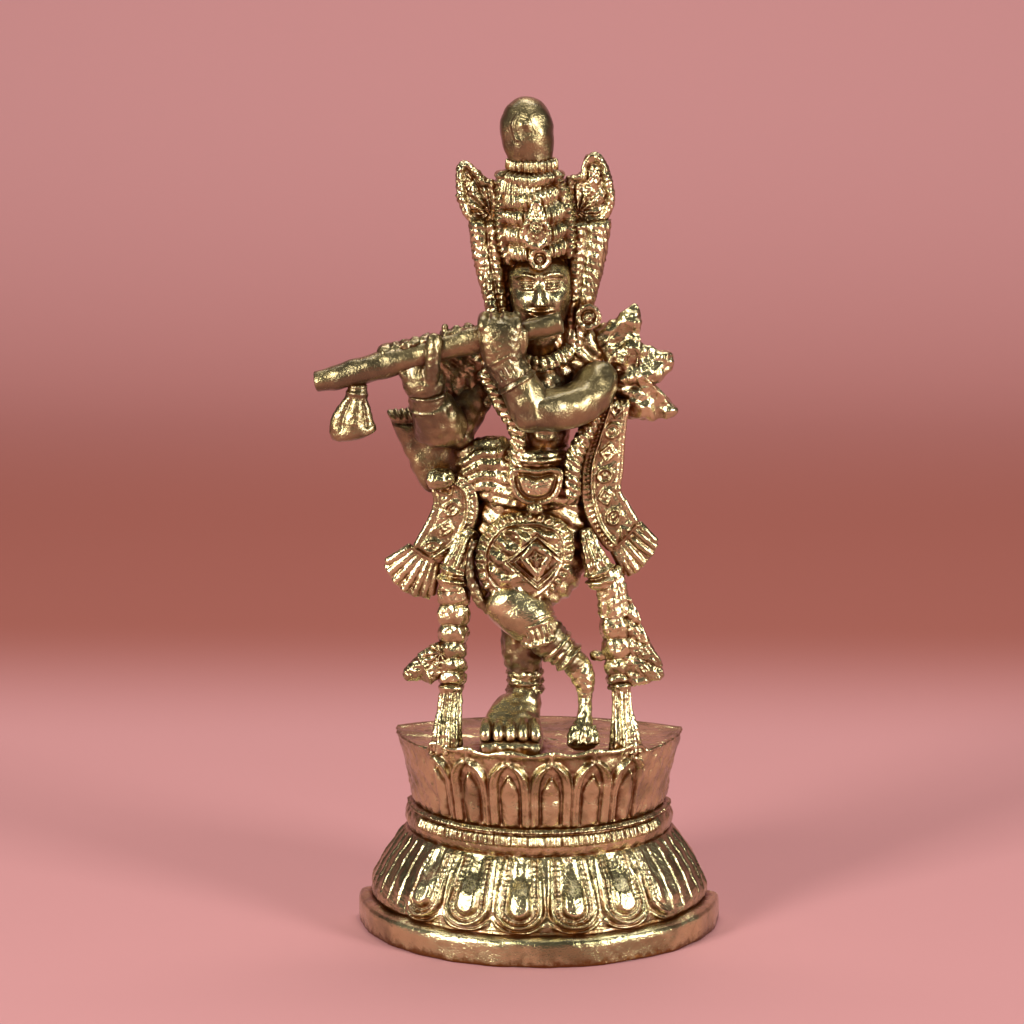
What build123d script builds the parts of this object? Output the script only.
from build123d import *

# Flute-playing deity statuette: a small gold-finished casting on a double lotus pedestal.
# Frame: millimetres, +Z up, the figure faces -Y. The origin is on the surface that the pedestal stands
# on, under the middle of the figure. "left" and "right" in names are the deity's own, so right is -X.
# Each tier, limb, garment and ornament is its own solid. In FITTING_ORDER, at the end, the earlier
# pieces stay whole and each later one is cut to seat on them. That leaves real sockets: the feet stand
# in the deck, the finial in the crown, and the flute runs through both hands.

import os

os.makedirs("parts", exist_ok=True)

# ---- driving dimensions -------------------------------------------------------------------------
TOTAL_HEIGHT = 119.2
BASE_HALF_WIDTH = 26.0
FRONT_DEPTH = 0.92            # depth of the pedestal in front of its widest line, over its half width
REAR_DEPTH = 0.27             # depth behind the widest line, over its half width
WIDEST_Y = 7.5                # the widest line of every tier of the pedestal
WALL = 2.4                    # wall of the hollow pedestal

PLINTH_TOP = 4.1
DOME_TOP = 14.6
RING_TOP = 18.0
DECK = 28.4                   # the surface that the feet stand on
DECK_THICKNESS = 2.6
SOCKET = 1.4                  # how far feet and tassel ends reach into the deck
SLAB_TOP = DECK + 0.9

FLUTE_Y = -7.0                # how far forward the flute's axis lies
FLUTE_FAR = Vector(-30.4, FLUTE_Y, 80.8)
FLUTE_MOUTH = Vector(3.6, FLUTE_Y, 89.2)
FLUTE_RADIUS = 1.4
FLUTE_AXIS = (FLUTE_MOUTH - FLUTE_FAR).normalized()
FLUTE_UP = FLUTE_AXIS.cross(Vector(0, 1, 0))

KNEE = Vector(0.2, -4.2, 45.3)        # the crossed leg's knee and ankle
ANKLE = Vector(5.9, -4.2, 40.2)
SHIN = ANKLE - KNEE

SMALLEST_BODY = 0.05          # a chip under this share of a cut piece is dropped


# ---- shapes that repeat -------------------------------------------------------------------------
def tier(levels, inset=0.0, ruled=False):
    """A pedestal tier through each (height, half width): half an ellipse in front, a flat arc behind."""
    with BuildPart() as block:
        for height, half_width in levels:
            wide = half_width - inset
            front = half_width * FRONT_DEPTH - inset
            rear = half_width * REAR_DEPTH - inset
            with BuildSketch(Plane.XY.offset(height)):
                with BuildLine():
                    EllipticalCenterArc((0, WIDEST_Y), wide, front, start_angle=180, arc_size=180)
                    ThreePointArc((wide, WIDEST_Y), (0, WIDEST_Y + rear), (-wide, WIDEST_Y))
                make_face()
        loft(ruled=ruled)
    return block.part


def limb(*stations):
    """A round limb through stations (x, y, z, radius), drawn in at both ends."""
    (first, inner), (outer, last) = stations[:2], stations[-2:]
    start = Vector(*first[:3]) + (Vector(*first[:3]) - Vector(*inner[:3])).normalized() * first[3] * 0.8
    end = Vector(*last[:3]) + (Vector(*last[:3]) - Vector(*outer[:3])).normalized() * last[3] * 0.8
    whole = [(*start, first[3] * 0.6), *stations, (*end, last[3] * 0.6)]
    with BuildPart() as shape:
        for n, (x, y, z, radius) in enumerate(whole):
            before = Vector(*whole[max(n - 1, 0)][:3])
            after = Vector(*whole[min(n + 1, len(whole) - 1)][:3])
            along = (after - before).normalized()
            across = along.cross(Vector(0, 1, 0)).normalized()
            with BuildSketch(Plane((x, y, z), x_dir=across, z_dir=along)):
                Circle(radius)
        loft()
    return shape.part


def stack(*stations):
    """An upright form through stations (x, y, z, half width, half depth), with elliptical sections."""
    with BuildPart() as shape:
        for x, y, z, wide, deep in stations:
            with BuildSketch(Plane((x, y, z))):
                Ellipse(wide, deep)
        loft()
    return shape.part


def plate(outline, back, thickness, edge=0.5, smooth=False):
    """An ornament seen from the front: an outline in X and Z, thick from y = back towards the viewer."""
    with BuildPart() as shape:
        with BuildSketch(Plane.XZ.offset(-back)):
            with BuildLine():
                if smooth:
                    Spline(*outline, periodic=True)
                else:
                    Polyline(*outline, close=True)
            make_face()
        extrude(amount=thickness)
        chamfer(shape.edges().group_by(Axis.Y)[0], edge)
    return shape.part


def bangle(x, y, z, direction, radius, width=0.9, swell=0.35, depth=0.6):
    """A ring round a limb, square to the direction that the limb runs in."""
    with BuildPart() as shape:
        with BuildSketch(Plane((x, y, z), z_dir=direction)):
            Circle(radius + swell)
            Circle(radius - depth, mode=Mode.SUBTRACT)
        extrude(amount=width / 2, both=True)
    return shape.part


def on_flute(reach, rise=0.0):
    """The point on the flute's axis at a distance from its far end, raised square to it."""
    return FLUTE_FAR + FLUTE_AXIS * reach + FLUTE_UP * rise


# ---- pedestal -----------------------------------------------------------------------------------
# The tiers are shells that stand rim on rim, open below. The hollow is their own shape less the wall.
hollow = tier(
    [(0, 25.2), (PLINTH_TOP, 24.4), (10.5, 22.2), (DOME_TOP, 18.8), (DECK - DECK_THICKNESS, 18.4)],
    inset=WALL,
    ruled=True,
)

with BuildPart() as plinth:
    add(tier([(0, BASE_HALF_WIDTH), (PLINTH_TOP, BASE_HALF_WIDTH - 0.2)]))
    chamfer(plinth.edges().group_by(Axis.Z)[-1], 0.7)
    add(hollow, mode=Mode.SUBTRACT)

with BuildPart() as lower_lotus:
    add(tier([(PLINTH_TOP, 24.4), (7.5, 24.1), (11.2, 22.4), (DOME_TOP, 19.4)]))
    add(hollow, mode=Mode.SUBTRACT)

with BuildPart() as bead_ring:
    add(tier([(DOME_TOP, 19.4), (RING_TOP, 19.0)]))
    chamfer(bead_ring.edges().group_by(Axis.Z)[-1], 0.5)
    chamfer(bead_ring.edges().group_by(Axis.Z)[0], 0.4)
    add(hollow, mode=Mode.SUBTRACT)

with BuildPart() as upper_lotus:
    add(tier([(RING_TOP, 18.1), (22.5, 19.0), (DECK, 20.6)]))
    chamfer(upper_lotus.edges().group_by(Axis.Z)[-1], 0.5)
    add(hollow, mode=Mode.SUBTRACT)

with BuildPart() as foot_slab:
    with BuildSketch(Plane.XY.offset(DECK - SOCKET / 2)):
        with Locations((-3.6, -4.6)):
            RectangleRounded(9.0, 9.6, 1.2)
    extrude(amount=SLAB_TOP - DECK + SOCKET / 2)
    chamfer(foot_slab.edges().group_by(Axis.Z)[-1], 0.3)

# ---- legs ---------------------------------------------------------------------------------------
# The left leg carries the figure. The right one crosses in front of it and stands on its toes.
with BuildPart() as left_leg:
    add(limb((-1.6, -0.4, 46.5, 3.1), (-1.9, -0.5, 41.5, 2.9), (-1.8, -0.7, 38.6, 2.35), (-1.8, -0.9, 36.2, 2.05)))

with BuildPart() as left_anklet:
    for height in (36.6, 37.9):
        add(bangle(-1.8, -0.8, height, (0, 0, 1), 2.35))

with BuildPart() as left_foot:
    add(stack(
        (-1.8, -0.9, 35.6, 2.1, 2.2),
        (-2.5, -2.2, 33.4, 2.9, 3.6),
        (-3.5, -4.3, 30.9, 4.1, 4.3),
        (-3.6, -4.5, SLAB_TOP, 4.3, 4.3),
    ))

with BuildPart() as right_leg:
    add(limb((*KNEE, 3.0), (3.2, -4.4, 42.6, 2.5), (*ANKLE, 2.0)))

with BuildPart() as right_anklet:
    add(bangle(3.2, -4.35, 42.6, SHIN, 2.4, 0.8))
    add(bangle(4.3, -4.3, 41.6, SHIN, 2.25, 0.8))

with BuildPart() as right_foot:
    add(limb(
        (6.7, -4.1, 39.0, 1.75),
        (6.9, -4.4, 37.3, 1.3),
        (6.9, -4.9, 35.2, 1.05),
        (6.6, -5.6, 32.4, 1.2),
        (6.3, -6.2, 29.9, 1.6),
    ))
    with Locations((6.3, -6.1, DECK - SOCKET)):
        Cylinder(1.1, 3.0, align=(Align.CENTER, Align.CENTER, Align.MIN))

# ---- dhoti, apron and belt ----------------------------------------------------------------------
with BuildPart() as dhoti:
    add(stack(
        (-1.6, -0.6, 46.2, 3.7, 3.6),
        (-1.8, -0.8, 49.5, 6.6, 4.2),
        (-1.2, -0.6, 55.0, 7.9, 4.6),
        (-0.6, -0.3, 61.0, 7.2, 4.3),
        (0.0, 0.0, 66.2, 5.2, 3.6),
    ))
    add(limb((-4.2, -2.6, 50.0, 3.4), (-1.6, -3.6, 47.4, 3.5), (0.5, -4.4, 45.5, 3.3)))

with BuildPart() as knee_hem:
    add(bangle(1.0, -4.5, 44.9, SHIN, 3.2, 1.9, 0.3))

APRON = [
    (-1.4, 62.2), (-6.4, 60.3), (-8.2, 56.0), (-6.6, 51.2),
    (-2.4, 49.3), (2.4, 51.0), (5.0, 55.6), (4.0, 60.2),
]
with BuildPart() as apron:
    add(plate(APRON, -3.2, 3.3, 0.9, smooth=True))

with BuildPart() as apron_clasp:
    with BuildSketch(Plane.XZ.offset(5.4)):
        with Locations(Location((0.0, 56.0), 22)):
            RectangleRounded(3.4, 4.4, 0.4)
    extrude(amount=1.7)

with BuildPart() as apron_cord:
    add(limb((-8.9, -2.6, 56.5, 0.7), (-8.8, -3.2, 52.0, 0.8), (-6.6, -4.2, 48.4, 0.8), (-3.6, -4.9, 47.0, 0.7)))

with BuildPart() as waist_cloth:
    add(stack((-0.2, -0.2, 61.6, 8.0, 4.3), (-0.6, -0.2, 65.6, 7.4, 4.2), (-0.9, -0.1, 70.4, 6.2, 3.4)))

with BuildPart() as belt:
    with BuildSketch(Plane((-0.1, -0.6, 68.8))):
        Ellipse(4.7, 4.4)
        Ellipse(3.2, 3.0, mode=Mode.SUBTRACT)
    extrude(amount=1.6)

with BuildPart() as belt_pendant:
    with BuildSketch(Plane.XZ.offset(3.4)):
        with BuildLine():
            Polyline((-3.6, 65.4), (-3.6, 68.4), (3.4, 68.4), (3.4, 65.4))
            ThreePointArc((3.4, 65.4), (-0.1, 63.2), (-3.6, 65.4))
        make_face()
    extrude(amount=2.4)
    chamfer(belt_pendant.edges().group_by(Axis.Y)[0], 0.4)
    with Locations((-0.1, -4.9, 62.6)):
        Sphere(1.0)

# ---- body ---------------------------------------------------------------------------------------
CHEST = [
    (-11.8, 71.0), (-8.6, 76.4), (-3.0, 77.0), (4.0, 76.4), (8.8, 76.6),
    (8.0, 86.6), (0.2, 88.6), (-8.4, 86.4), (-12.4, 80.0),
]
with BuildPart() as torso:
    add(stack(
        (-0.1, 0.0, 65.0, 4.4, 3.8),
        (0.5, 0.0, 70.4, 3.5, 3.5),
        (0.5, 0.3, 75.0, 4.4, 3.8),
        (0.1, 0.6, 80.5, 6.9, 4.0),
        (0.2, 0.6, 84.0, 6.0, 3.4),
    ))
    add(plate(CHEST, 3.6, 3.4, 0.8))

with BuildPart() as necklace:
    with BuildSketch(Plane((0.2, -0.6, 83.0), z_dir=(0, -0.45, 1))):
        Ellipse(5.2, 4.6)
        Ellipse(3.0, 2.8, mode=Mode.SUBTRACT)
    extrude(amount=1.5)

with BuildPart() as right_garland:
    add(limb((-8.2, -3.2, 81.6, 0.95), (-5.6, -4.4, 76.6, 0.95), (-5.0, -4.6, 71.0, 0.9), (-6.6, -4.6, 66.6, 0.9)))

with BuildPart() as left_garland:
    add(limb((8.0, -3.0, 75.4, 0.95), (6.4, -4.2, 72.6, 1.0), (4.9, -4.9, 69.0, 1.0), (4.9, -5.0, 64.2, 0.95)))

# ---- arms and flute -----------------------------------------------------------------------------
with BuildPart() as flute:
    with BuildSketch(Plane(FLUTE_FAR, x_dir=(0, 1, 0), z_dir=FLUTE_AXIS)):
        Circle(FLUTE_RADIUS)
    extrude(amount=(FLUTE_MOUTH - FLUTE_FAR).length)
    chamfer(flute.edges().filter_by(GeomType.CIRCLE), 0.35)
    with BuildSketch(Plane(on_flute(6.0), x_dir=(0, 1, 0), z_dir=FLUTE_AXIS)):
        Circle(FLUTE_RADIUS + 0.35)
    extrude(amount=1.1)

with BuildPart() as flute_tassel:
    add(stack(
        (-25.1, FLUTE_Y, 81.4, 1.3, 1.0),
        (-25.2, FLUTE_Y, 77.6, 2.0, 1.4),
        (-25.4, FLUTE_Y, 74.6, 3.2, 1.9),
        (-25.5, FLUTE_Y, 72.6, 2.4, 1.5),
    ))

with BuildPart() as right_arm:
    add(limb((-8.0, 0.4, 80.8, 3.2), (-10.6, -0.8, 76.0, 3.3), (-12.8, -2.6, 72.0, 3.5)))

with BuildPart() as right_forearm:
    add(limb((-13.6, -3.4, 71.6, 3.5), (-14.2, -4.6, 74.8, 3.1), (-14.9, -5.9, 78.4, 2.4)))

with BuildPart() as right_bracelet:
    add(bangle(-14.8, -5.8, 78.2, (-0.7, -1.1, 3.6), 2.45, 1.5, 0.3))

with BuildPart() as right_hand:
    add(limb((-14.8, -6.2, 79.6, 2.1), (-15.0, -6.6, 82.4, 2.3), (-14.6, -6.9, 84.6, 2.2)))
    for reach in (9.6, 11.4, 13.2, 15.0, 17.0):
        with Locations(on_flute(reach, FLUTE_RADIUS + 0.2)):
            Sphere(1.25)

with BuildPart() as left_arm:
    add(limb((8.7, -1.8, 80.2, 3.1), (5.0, -5.0, 78.9, 2.75), (0.8, -7.0, 78.2, 2.7), (-1.3, -7.6, 79.0, 2.6)))

with BuildPart() as left_forearm:
    add(limb((-1.6, -7.7, 79.4, 2.6), (-3.0, -7.9, 82.2, 2.4), (-4.0, -7.9, 84.6, 2.2)))

with BuildPart() as left_bracelet:
    add(bangle(-2.7, -7.9, 81.6, (-1, 0, 1.9), 2.5, 0.9, 0.3))
    add(bangle(-3.9, -7.9, 84.2, (-1, 0, 2.4), 2.3, 0.9, 0.3))

with BuildPart() as left_hand:
    add(limb((-4.3, -7.8, 85.6, 2.2), (-4.5, -7.7, 87.6, 2.5), (-4.6, -7.5, 88.6, 2.3)))
    for reach in (24.6, 26.3, 28.0):
        with Locations(on_flute(reach, FLUTE_RADIUS)):
            Sphere(1.25)

# ---- head and crown -----------------------------------------------------------------------------
with BuildPart() as head:
    add(stack(
        (0.3, -3.2, 87.6, 1.4, 1.2),
        (0.3, -2.0, 89.0, 2.9, 3.2),
        (0.3, -1.2, 91.6, 4.1, 4.4),
        (0.2, -0.8, 94.6, 4.4, 4.8),
        (0.1, -0.5, 97.6, 4.3, 4.6),
    ))
    add(limb((0.2, 0.2, 83.0, 2.2), (0.2, 0.0, 90.0, 2.2)))

with BuildPart() as crown:
    add(stack(
        (0.1, 0.2, 96.6, 5.2, 5.0),
        (-0.2, 0.3, 99.6, 5.3, 5.0),
        (-0.7, 0.4, 104.0, 4.8, 4.5),
        (-1.0, 0.4, 106.6, 4.2, 4.0),
        (-1.2, 0.4, 109.6, 3.2, 3.0),
    ))

with BuildPart() as crown_rings:
    for height, radius, width in ((105.8, 4.7, 1.5), (108.6, 3.6, 1.6)):
        add(bangle(-1.1, 0.4, height + width / 2, (0, 0, 1), radius, width, 0, 1.3))

with BuildPart() as crown_finial:
    add(stack(
        (-1.1, 0.4, 109.0, 1.6, 1.6),
        (-1.1, 0.4, 110.6, 2.7, 2.7),
        (-1.4, 0.4, 112.8, 3.5, 3.5),
        (-1.6, 0.4, 115.3, 3.7, 3.7),
        (-1.7, 0.4, 117.6, 2.8, 2.8),
        (-1.7, 0.4, TOTAL_HEIGHT, 0.7, 0.7),
    ))

with BuildPart() as crown_jewel:
    with BuildSketch(Plane.XZ.offset(3.6)):
        with BuildLine():
            ThreePointArc((-1.9, 100.6), (-0.1, 98.8), (1.7, 100.6))
            Spline((1.7, 100.6), (1.2, 103.2), (-0.1, 105.7))
            Spline((-0.1, 105.7), (-1.4, 103.2), (-1.9, 100.6))
        make_face()
    extrude(amount=2.4)
    chamfer(crown_jewel.edges().group_by(Axis.Y)[0], 0.5)

with BuildPart() as brow_disc:
    with BuildSketch(Plane.XZ.offset(4.0)):
        with Locations((0.4, 97.6)):
            Circle(1.5)
    extrude(amount=1.7)
    chamfer(brow_disc.edges().group_by(Axis.Y)[0], 0.4)

RIGHT_WING = [
    (-10.1, 110.4), (-11.4, 107.4), (-11.4, 103.4), (-9.6, 101.2), (-4.4, 101.6), (-4.2, 106.0), (-7.6, 107.8),
]
with BuildPart() as right_wing:
    add(plate(RIGHT_WING, 2.2, 2.8))

LEFT_WING = [
    (7.8, 111.5), (5.4, 108.2), (2.6, 105.8), (3.6, 101.4), (9.6, 101.2), (10.8, 104.2), (9.6, 108.8),
]
with BuildPart() as left_wing:
    add(plate(LEFT_WING, 2.2, 2.8))

RIGHT_LAPPET = [(-10.0, 101.4), (-8.6, 95.2), (-7.4, 88.0), (-3.4, 88.0), (-3.8, 95.0), (-4.2, 101.4)]
with BuildPart() as right_hair:
    add(plate(RIGHT_LAPPET, 2.6, 3.6))

LEFT_LAPPET = [
    (10.4, 101.4), (9.2, 96.4), (8.0, 90.0), (6.4, 83.0), (3.2, 82.0), (3.4, 95.0), (3.8, 101.4),
]
with BuildPart() as left_hair:
    add(plate(LEFT_LAPPET, 2.6, 3.6))

with BuildPart() as hair_back:
    add(stack((0.2, 1.8, 84.0, 5.6, 3.0), (0.2, 1.8, 91.0, 5.4, 3.4), (0.1, 1.8, 98.2, 5.4, 3.6)))

with BuildPart() as left_earring:
    with BuildSketch(Plane.XZ.offset(0.8)):
        with Locations((7.0, 89.2)):
            Circle(1.7)
    extrude(amount=2.4)
    chamfer(left_earring.edges().group_by(Axis.Y)[0], 0.5)

# ---- shawl and sashes ---------------------------------------------------------------------------
PLUME = [
    (7.6, 88.2), (11.0, 87.8), (13.4, 90.2), (13.6, 85.4), (17.8, 83.9), (16.8, 79.4),
    (19.0, 76.4), (15.6, 73.8), (10.6, 73.8), (7.0, 77.4), (5.4, 84.0),
]
with BuildPart() as shoulder_plume:
    add(plate(PLUME, 3.0, 3.6))

ELBOW_DRAPE = [
    (-20.7, 75.3), (-18.2, 75.8), (-13.0, 71.0), (-9.4, 66.0), (-14.6, 63.6), (-16.8, 65.2), (-18.9, 70.2),
]
with BuildPart() as elbow_drape:
    add(plate(ELBOW_DRAPE, 2.4, 3.4))

RIGHT_SASH = [
    (-15.2, 66.4), (-7.4, 66.6), (-6.6, 61.0), (-9.7, 57.6), (-13.6, 54.4), (-17.0, 56.8), (-14.6, 61.0),
]
with BuildPart() as right_sash:
    add(plate(RIGHT_SASH, 1.2, 4.4))

LEFT_SASH = [
    (9.4, 77.6), (12.3, 76.6), (12.0, 66.6), (11.6, 64.4), (15.2, 58.0),
    (9.9, 56.2), (5.4, 61.0), (5.4, 66.6), (7.0, 71.0),
]
with BuildPart() as left_sash:
    add(plate(LEFT_SASH, 1.2, 4.4))

RIGHT_FAN = [(-16.0, 58.6), (-21.6, 53.9), (-20.2, 51.0), (-17.0, 48.8), (-14.9, 48.9), (-12.2, 56.2)]
with BuildPart() as right_sash_fan:
    add(plate(RIGHT_FAN, 0.5, 2.6))

LEFT_FAN = [(10.2, 57.3), (14.8, 59.2), (16.9, 56.2), (15.4, 53.6), (13.2, 51.9), (11.6, 52.6)]
with BuildPart() as left_sash_fan:
    add(plate(LEFT_FAN, 0.5, 2.6))

with BuildPart() as right_waist_tail:
    add(limb((-9.1, -2.6, 58.8, 0.9), (-10.4, -3.0, 55.6, 1.4), (-11.6, -3.2, 53.4, 1.9)))

with BuildPart() as left_waist_tail:
    add(limb((6.7, -2.6, 59.0, 0.9), (7.8, -3.0, 55.6, 1.4), (9.0, -3.2, 53.2, 2.0)))

# ---- tasselled columns at the sides -------------------------------------------------------------
with BuildPart() as right_column:
    add(stack(
        (-11.8, -2.4, 54.4, 2.2, 1.7),
        (-11.8, -2.6, 47.0, 2.2, 1.7),
        (-12.0, -2.9, 41.0, 1.9, 1.6),
        (-12.1, -3.3, 36.6, 1.7, 1.4),
    ))

with BuildPart() as right_column_tassel:
    add(stack(
        (-12.1, -3.3, 36.6, 1.7, 1.4),
        (-12.5, -4.0, 33.0, 2.1, 1.8),
        (-12.6, -4.6, DECK, 2.2, 2.0),
        (-12.6, -4.6, DECK - SOCKET, 1.9, 1.7),
    ))

with BuildPart() as left_column:
    add(stack(
        (10.6, -2.4, 54.4, 2.4, 1.7),
        (10.8, -2.6, 47.0, 2.3, 1.7),
        (11.1, -2.9, 41.0, 2.1, 1.6),
        (11.6, -3.3, 37.0, 1.4, 1.4),
    ))
    add(limb((6.6, -3.6, 41.0, 0.7), (10.2, -3.0, 41.4, 0.7)))

with BuildPart() as left_column_tassel:
    add(stack(
        (11.6, -3.3, 37.0, 1.4, 1.4),
        (12.0, -4.0, 33.6, 1.8, 1.7),
        (12.3, -4.6, DECK, 2.5, 2.1),
        (12.3, -4.6, DECK - SOCKET, 2.2, 1.8),
    ))

RIGHT_BOW = [(-11.6, 43.8), (-15.2, 42.6), (-18.7, 38.9), (-18.2, 37.7), (-15.4, 37.5), (-11.6, 38.2)]
with BuildPart() as right_column_bow:
    add(plate(RIGHT_BOW, -1.6, 2.4, 0.4))

LEFT_FLARE = [(10.6, 50.6), (13.6, 49.8), (17.3, 40.6), (17.4, 38.2), (15.8, 37.2), (11.0, 37.6)]
with BuildPart() as left_column_flare:
    add(plate(LEFT_FLARE, -1.6, 2.2, 0.4))

# ---- fitting ------------------------------------------------------------------------------------
FITTING_ORDER = {
    "flute": flute,
    "left_foot": left_foot,
    "right_foot": right_foot,
    "right_column_tassel": right_column_tassel,
    "left_column_tassel": left_column_tassel,
    "foot_slab": foot_slab,
    "right_sash_fan": right_sash_fan,
    "left_sash_fan": left_sash_fan,
    "left_anklet": left_anklet,
    "right_anklet": right_anklet,
    "left_leg": left_leg,
    "knee_hem": knee_hem,
    "right_leg": right_leg,
    "apron_clasp": apron_clasp,
    "belt_pendant": belt_pendant,
    "belt": belt,
    "apron_cord": apron_cord,
    "apron": apron,
    "right_waist_tail": right_waist_tail,
    "left_waist_tail": left_waist_tail,
    "right_column": right_column,
    "left_column": left_column,
    "right_column_bow": right_column_bow,
    "left_column_flare": left_column_flare,
    "right_bracelet": right_bracelet,
    "left_bracelet": left_bracelet,
    "right_hand": right_hand,
    "left_hand": left_hand,
    "right_forearm": right_forearm,
    "left_forearm": left_forearm,
    "flute_tassel": flute_tassel,
    "right_arm": right_arm,
    "left_arm": left_arm,
    "right_garland": right_garland,
    "left_garland": left_garland,
    "right_sash": right_sash,
    "left_sash": left_sash,
    "elbow_drape": elbow_drape,
    "left_earring": left_earring,
    "brow_disc": brow_disc,
    "crown_jewel": crown_jewel,
    "crown_finial": crown_finial,
    "crown_rings": crown_rings,
    "crown": crown,
    "head": head,
    "necklace": necklace,
    "right_wing": right_wing,
    "left_wing": left_wing,
    "right_hair": right_hair,
    "left_hair": left_hair,
    "shoulder_plume": shoulder_plume,
    "torso": torso,
    "waist_cloth": waist_cloth,
    "dhoti": dhoti,
    "hair_back": hair_back,
    "upper_lotus": upper_lotus,
    "bead_ring": bead_ring,
    "lower_lotus": lower_lotus,
    "plinth": plinth,
}

fitted = []
for name, piece in FITTING_ORDER.items():
    reach = piece.part.bounding_box()
    with BuildPart() as seated:
        add(piece.part)
        for neighbour in fitted:
            if reach.overlaps(neighbour.bounding_box()):
                add(neighbour, mode=Mode.SUBTRACT)
        largest = max(body.volume for body in seated.solids())
        for chip in seated.solids():
            if chip.volume < SMALLEST_BODY * largest:
                add(chip, mode=Mode.SUBTRACT)
    seated.part.label = name
    export_step(seated.part, f"parts/{name}.step")
    fitted.append(seated.part)
